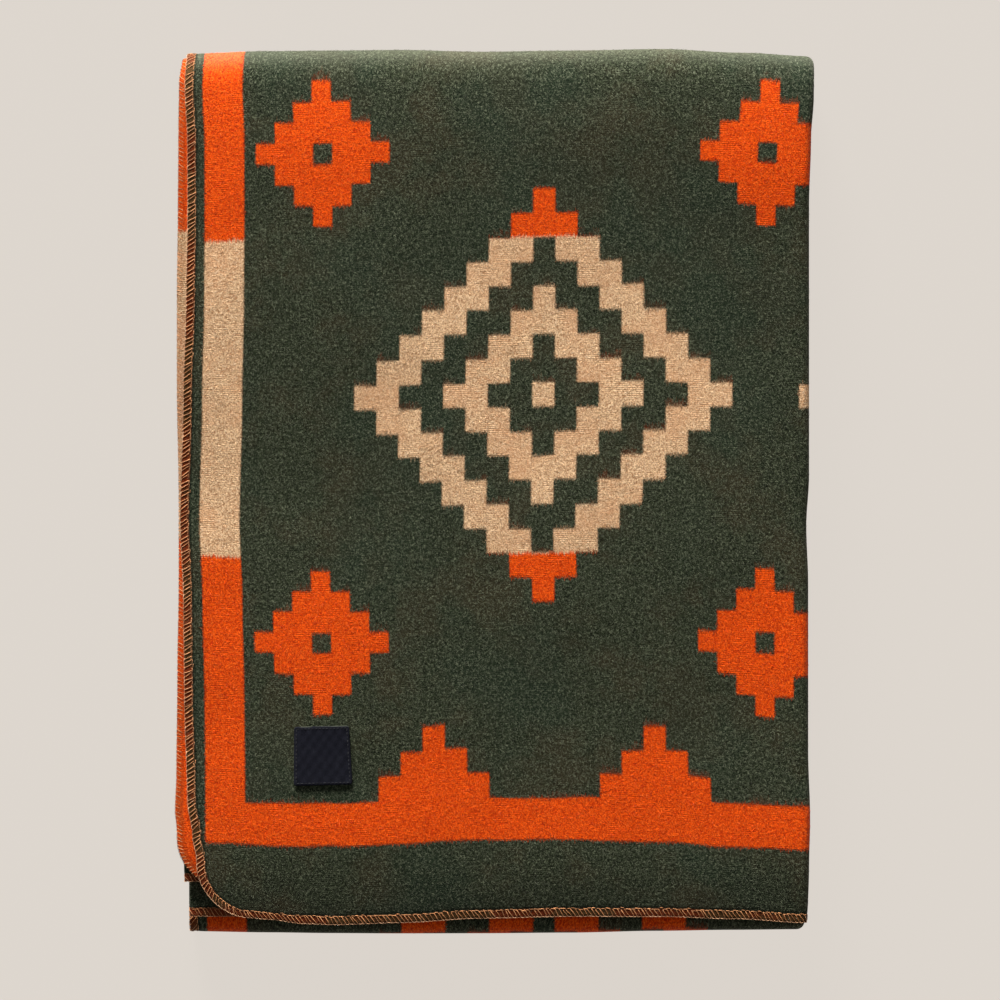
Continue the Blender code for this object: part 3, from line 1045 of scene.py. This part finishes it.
def tubes(name, paths, facing, thread, material, chance):
    """Closed threads, one along each path, wide across the cloth and thin through it."""
    wide, thick, sides = thread
    count, steps = paths.shape[:2]
    ahead = unit(np.gradient(paths, axis=1))
    beside = unit(np.cross(ahead, facing))
    over = np.cross(beside, ahead)
    angles = 2 * math.pi * np.arange(sides) / sides
    girth = (GIRTH_LEAST + (GIRTH_MOST - GIRTH_LEAST) * chance)[:, None, None, None]
    ring = (
        paths[:, :, None]
        + girth * wide / 2 * np.cos(angles)[:, None] * beside[:, :, None]
        + girth * thick / 2 * np.sin(angles)[:, None] * over[:, :, None]
    )
    at = np.arange(count * steps * sides).reshape(count, steps, sides)
    beyond = np.roll(at, -1, axis=2)
    walls = np.stack((at[:, :-1], at[:, 1:], beyond[:, 1:], beyond[:, :-1]), -1).reshape(-1, 4)
    faces = walls.tolist() + at[:, 0].tolist() + at[:, -1, ::-1].tolist()
    made = put(name, ring.reshape(-1, 3), faces, material)
    lengths = np.cumsum(np.linalg.norm(np.diff(paths, axis=1, prepend=paths[:, :1]), axis=-1), axis=1)
    place = np.empty((count, steps, sides, 3))
    place[..., 0] = lengths[:, :, None]
    place[..., 1] = angles / (2 * math.pi)
    place[..., 2] = chance[:, None, None]
    note(made, "thread_at", place.reshape(-1, 3))
    return made


def edge_course():
    """The cut edge of the flat cloth as closely spaced points, with the direction into the cloth."""
    corners = (
        (WIDTH - CORNER_RADIUS, CORNER_RADIUS, 90),
        (WIDTH - CORNER_RADIUS, LENGTH - CORNER_RADIUS, 180),
        (CORNER_RADIUS, LENGTH - CORNER_RADIUS, 270),
        (CORNER_RADIUS, CORNER_RADIUS, 360),
    )
    places, inward = [(CORNER_RADIUS, 0.0)], [math.radians(90)]
    for p, q, start in corners:
        for step in range(CORNER_PARTS + 1):
            angle = math.radians(start + 90 * step / CORNER_PARTS)
            places.append((p - CORNER_RADIUS * math.cos(angle), q - CORNER_RADIUS * math.sin(angle)))
            inward.append(angle)
    places = np.array(places)
    far = np.concatenate(([0.0], np.cumsum(np.linalg.norm(np.diff(places, axis=0), axis=1))))
    return far, places, np.array(inward)


def hem_points(course, along, inside, height):
    """Points near the cut edge: a distance along it, a distance in from it and a height."""
    far, places, inward = course
    at = np.mod(along, far[-1])
    angle = np.interp(at, far, inward)
    p = np.interp(at, far, places[:, 0]) + inside * np.cos(angle)
    q = np.interp(at, far, places[:, 1]) + inside * np.sin(angle)
    return cloth_points(grid_across(p, q), q, height)


def hem_threads(name, course, starts, shape, thread, material, rng):
    """One thread for each stitch, all of one shape: rows of along, inside and height."""
    shape = np.array(shape)
    uneven = STITCH_JITTER * rng.normal(0.0, 1.0, (len(starts), 3))
    leaning = uneven[:, 2:] * shape[:, 1] / shape[:, 1].max()
    along = starts[:, None] + shape[:, 0] + 0.5 * uneven[:, :1] + leaning
    inside = shape[:, 1] + 0.6 * uneven[:, 1:2] * (shape[:, 1] > 0.003)
    inside = np.broadcast_to(inside, along.shape)
    height = np.broadcast_to(shape[:, 2], along.shape)
    paths = hem_points(course, along, inside, height)
    core = hem_points(course, along, np.maximum(inside, 0.0006), height * 0.2)
    chance = rng.random(len(starts))
    return tubes(name, paths, unit(paths - core), thread, material, chance)


WRAP_SHAPE = (
    (-0.0002, 0.0051, 0.00050),
    (0.0000, 0.0047, 0.00094),
    (0.3 * STITCH_SLANT, 0.0034, 0.00105),
    (0.65 * STITCH_SLANT, 0.0018, 0.00104),
    (0.95 * STITCH_SLANT, 0.0003, 0.00084),
    (1.0 * STITCH_SLANT, -0.00035, 0.00025),
    (1.0 * STITCH_SLANT, -0.00035, -0.00030),
    (0.95 * STITCH_SLANT, 0.0004, -0.00064),
    (0.55 * STITCH_SLANT, 0.0026, -0.00067),
    (0.15 * STITCH_SLANT, 0.0048, -0.00046),
)

CHAIN_SHAPE = (
    (0.0001, 0.0048, 0.00066),
    (0.0008, 0.0051, 0.00098),
    (0.0022, 0.0050, 0.00100),
    (0.0031, 0.0047, 0.00070),
)

BEAD_SHAPE = (
    (STITCH_SLANT - 0.0004, 0.0003, 0.00072),
    (STITCH_SLANT + 0.0006, -0.0003, 0.00082),
    (STITCH_SLANT + 0.0018, -0.0003, 0.00078),
    (STITCH_SLANT + 0.0028, 0.0002, 0.00060),
)


def build_overlock(material, pale_material):
    """The overlock stitches round the whole cut edge, as several pieces of thread."""
    course = edge_course()
    count = int(round(course[0][-1] / STITCH_STEP))
    starts = np.arange(count) * course[0][-1] / count
    rng = np.random.default_rng(5)
    halves = np.array_split(starts, 2)
    made = [
        hem_threads(f"overlock_wraps_{k}", course, half, WRAP_SHAPE, WRAP_THREAD, material, rng)
        for k, half in enumerate(halves)
    ]
    made.append(hem_threads("overlock_chain", course, starts, CHAIN_SHAPE, CHAIN_THREAD, material, rng))
    made.append(hem_threads("overlock_beads", course, starts, BEAD_SHAPE, CHAIN_THREAD, pale_material, rng))
    return made


def fibre_roots(rng):
    """Where the nap's fibres stand on the flat cloth, and on which side of it."""
    top_width, top_length = CROSS_SECTIONS[0].run, LENGTH_SECTIONS[0].run
    u = rng.uniform(NAP_START, top_width + 0.5 * math.pi * CROSS_SECTIONS[0].radius, FACE_FIBRES)
    v = rng.uniform(NAP_START, top_length + 0.5 * math.pi * LENGTH_SECTIONS[0].radius, FACE_FIBRES)
    side = np.ones(FACE_FIBRES)
    near_u = rng.uniform(0.0, WIDTH, EDGE_FIBRES)
    near_v = rng.uniform(0.0, LENGTH, EDGE_FIBRES)
    either = rng.choice((-1.0, 1.0), EDGE_FIBRES)
    at = cloth_points(near_u, near_v, either * PLY / 2)
    outward = cloth_points(near_u, near_v, either * PLY) - at
    beside = np.abs(unit(outward)[:, 2]) < NAP_UPRIGHT
    hem = edge_distance(near_u, near_v) < NAP_HEM
    keep = (beside | hem) & (at[:, 2] > NAP_LOWEST)
    return (
        np.concatenate((u, near_u[keep])),
        np.concatenate((v, near_v[keep])),
        np.concatenate((side, either[keep])),
    )


def clear_of_label(u, v):
    """True for the points of the flat cloth that the label doesn't cover."""
    at = cloth_points(u, v, 0.0)
    off_x = np.abs(at[..., 0] - LABEL_X) > LABEL_WIDTH / 2 + LABEL_CLEAR
    off_y = np.abs(at[..., 1] - LABEL_Y) > LABEL_HEIGHT / 2 + LABEL_CLEAR
    return off_x | off_y | (at[..., 2] <= UNDER_TOP_PLY)


def build_nap(material):
    """Loose wool fibres that stand from the brushed surface, each a closed sliver."""
    rng = np.random.default_rng(NAP_SEED)
    u, v, side = fibre_roots(rng)
    keep = clear_of_label(u, v)
    u, v, side = u[keep], v[keep], side[keep]
    count = len(u)
    heading = rng.uniform(0.0, 2 * math.pi, count)
    length = rng.uniform(*FIBRE_LENGTH, count)
    tip_height = rng.uniform(*FIBRE_RISE, count) * side
    p = true_across(u, v)
    root = half_thickness(p, v) * side
    ahead = np.stack((np.cos(heading), np.sin(heading)))
    corners = []
    for across, out in ((-0.5, -0.4), (0.5, -0.4), (0.0, 0.6)):
        move = across * FIBRE_WIDTH
        depth = root + out * FIBRE_WIDTH * side
        corners.append(cloth_points(u - ahead[1] * move, v + ahead[0] * move, depth))
    corners.append(cloth_points(u + ahead[0] * length, v + ahead[1] * length, root + tip_height))
    points = np.stack(corners, axis=1)
    at = np.arange(4 * count).reshape(count, 4)
    faces = np.concatenate((at[:, (0, 2, 1)], at[:, (0, 1, 3)], at[:, (1, 2, 3)], at[:, (2, 0, 3)]))
    flipped = np.concatenate([side < 0] * 4)
    faces[flipped] = faces[flipped][:, ::-1]
    nap = put("nap", points.reshape(-1, 3), faces, material)
    place = np.stack((*woven_place(p, u, v), side), -1)
    note(nap, "cloth_at", np.repeat(place, 4, axis=0))
    note(nap, "edge_distance", np.full(4 * count, 0.1))
    note(nap, "strand", np.repeat(rng.uniform(-0.6, 1.0, count), 4))
    return nap


def label_place(across, up):
    """A point of the label on the table's plane."""
    across = across * (1.0 - LABEL_FLARE * up / LABEL_HEIGHT)
    x = LABEL_X + across * math.cos(LABEL_TURN) - up * math.sin(LABEL_TURN)
    y = LABEL_Y + across * math.sin(LABEL_TURN) + up * math.cos(LABEL_TURN)
    return x, y


def label_height(tree, across, up):
    """The height of the label's underside at one of its points."""
    x, y = label_place(across, up)
    hit = tree.ray_cast(Vector((x, y, 1.0)), Vector((0.0, 0.0, -1.0)))[0]
    free = LABEL_LIFT * (0.5 - up / LABEL_HEIGHT) ** 2
    pucker = 0.00012 * math.sin(across * 900.0) * math.cos(up * 700.0)
    return hit.z + LABEL_GAP + free + pucker


def label_edge(across, up):
    """How far a point of the label is from its rounded outline."""
    a = LABEL_WIDTH / 2 - abs(across)
    b = LABEL_HEIGHT / 2 - abs(up)
    if a < LABEL_CORNER and b < LABEL_CORNER:
        return LABEL_CORNER - math.hypot(LABEL_CORNER - a, LABEL_CORNER - b)
    return min(a, b)


def drawn_in(across, up):
    """A point of the label's grid, which near its corners moves in to the rounded outline."""
    inner_a, inner_b = LABEL_WIDTH / 2 - LABEL_CORNER, LABEL_HEIGHT / 2 - LABEL_CORNER
    far_a, far_b = abs(across) - inner_a, abs(up) - inner_b
    if min(far_a, far_b) <= 0.0:
        return across, up
    pull = max(far_a, far_b) / math.hypot(far_a, far_b)
    across = math.copysign(inner_a + far_a * pull, across)
    return across, math.copysign(inner_b + far_b * pull, up)


def build_label(cloth, material):
    """The label: a woven square with round edges, a little free along its lower edge."""
    tree = BVHTree.FromObject(cloth, bpy.context.evaluated_depsgraph_get())
    shares = np.linspace(-1.0, 1.0, LABEL_CELLS + 1)
    shares = np.sign(shares) * (1.0 - (1.0 - np.abs(shares)) ** LABEL_CROWDING)
    over, under, places = [], [], []
    for share_up in shares:
        for share_across in shares:
            across, up = drawn_in(share_across * LABEL_WIDTH / 2, share_up * LABEL_HEIGHT / 2)
            edge = max(label_edge(across, up), 0.0)
            rounding = math.sqrt(max(1.0 - max(1.0 - edge / (0.5 * LABEL_THICKNESS), 0.0) ** 2, 0.0))
            middle = label_height(tree, across, up) + LABEL_THICKNESS / 2
            half = LABEL_THICKNESS / 2 * (0.35 + 0.65 * rounding)
            x, y = label_place(across, up)
            over.append((x, y, middle + half))
            under.append((x, y, middle - half))
            places.append((across, up, edge))
    side = LABEL_CELLS + 1
    label = put("woven_label", over + under, slab_faces(side, side), material)
    note(label, "label_at", np.array(places + places))
    return label, tree


def build_label_stitches(tree, material):
    """Short stitches that hold the label along its four edges."""
    half_a, half_b = LABEL_WIDTH / 2 - LABEL_STITCH_IN, LABEL_HEIGHT / 2 - LABEL_STITCH_IN
    rng = np.random.default_rng(3)
    paths = []
    rows = ((0, half_b, half_a), (0, -half_b, half_a), (1, half_a, half_b), (1, -half_a, half_b))
    for axis, level, reach in rows:
        count = int(2 * reach / LABEL_STITCH_STEP)
        for k in range(count):
            start = -reach + 2 * reach * (k + 0.12) / count
            end = -reach + 2 * reach * (k + 0.88) / count
            path = []
            for share, rise in LABEL_STITCH_SHAPE:
                run = start + (end - start) * share
                a, b = (run, level) if axis == 0 else (level, run)
                x, y = label_place(a, b)
                path.append((x, y, label_height(tree, a, b) + LABEL_THICKNESS + rise))
            paths.append(path)
    paths = np.array(paths)
    facing = np.broadcast_to((0.0, 0.0, 1.0), paths.shape)
    return tubes("label_stitches", paths, facing, LABEL_THREAD, material, rng.random(len(paths)))


def build_floor(material):
    """The plain ground under the blanket."""
    corners = ((-1, -1), (1, -1), (1, 1), (-1, 1))
    points = [(x * FLOOR_REACH, y * FLOOR_REACH, FLOOR_Z) for x, y in corners]
    floor = put("floor", points, [(0, 1, 2, 3)], material)


def add_area_light(name, place, size, power, colour):
    """A soft square light that looks at the middle of the floor."""
    data = bpy.data.lights.new(name, "AREA")
    data.size = size
    data.energy = power
    data.color = colour
    lamp = bpy.data.objects.new(name, data)
    lamp.location = place
    lamp.rotation_euler = (-Vector(place)).to_track_quat("-Z", "Y").to_euler()
    bpy.context.scene.collection.objects.link(lamp)


def light_scene():
    """Even studio light with a soft key from beyond the top fold."""
    world = bpy.data.worlds.new("studio")
    world.use_nodes = True
    backdrop = world.node_tree.nodes["Background"]
    backdrop.inputs["Color"].default_value = STUDIO_COLOUR
    backdrop.inputs["Strength"].default_value = STUDIO_STRENGTH
    bpy.context.scene.world = world
    for light in LIGHTS:
        add_area_light(*light)
    bpy.context.scene.view_settings.view_transform = "Standard"


def add_camera():
    """The camera straight above the blanket, as in the photograph."""
    data = bpy.data.cameras.new("camera")
    data.sensor_width = FILM_WIDTH
    data.lens = FILM_WIDTH * (CAMERA_HEIGHT - TOP_OF_STACK) / SEEN_WIDTH
    camera = bpy.data.objects.new("camera", data)
    camera.location = (CAMERA_X, CAMERA_Y, CAMERA_HEIGHT)
    bpy.context.scene.collection.objects.link(camera)
    bpy.context.scene.camera = camera


def main():
    """Builds every piece, hangs each on the root body and hides the model's cloth and label."""
    wool = wool_material()
    thread = thread_material("overlock_thread", *OVERLOCK_COLOURS)
    pale = thread_material("edge_thread", *EDGE_COLOURS)
    dark = thread_material("label_thread", *LABEL_THREAD_COLOURS)
    cloth = build_cloth(wool)
    overlock = build_overlock(thread, pale)
    nap = build_nap(wool)
    label, tree = build_label(cloth, label_material())
    stitches = build_label_stitches(tree, dark)
    for piece in (cloth, nap, label, stitches, *overlock):
        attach(piece, "root")
    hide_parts("cloth")
    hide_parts("label")
    build_floor(floor_material())
    light_scene()
    add_camera()


main()
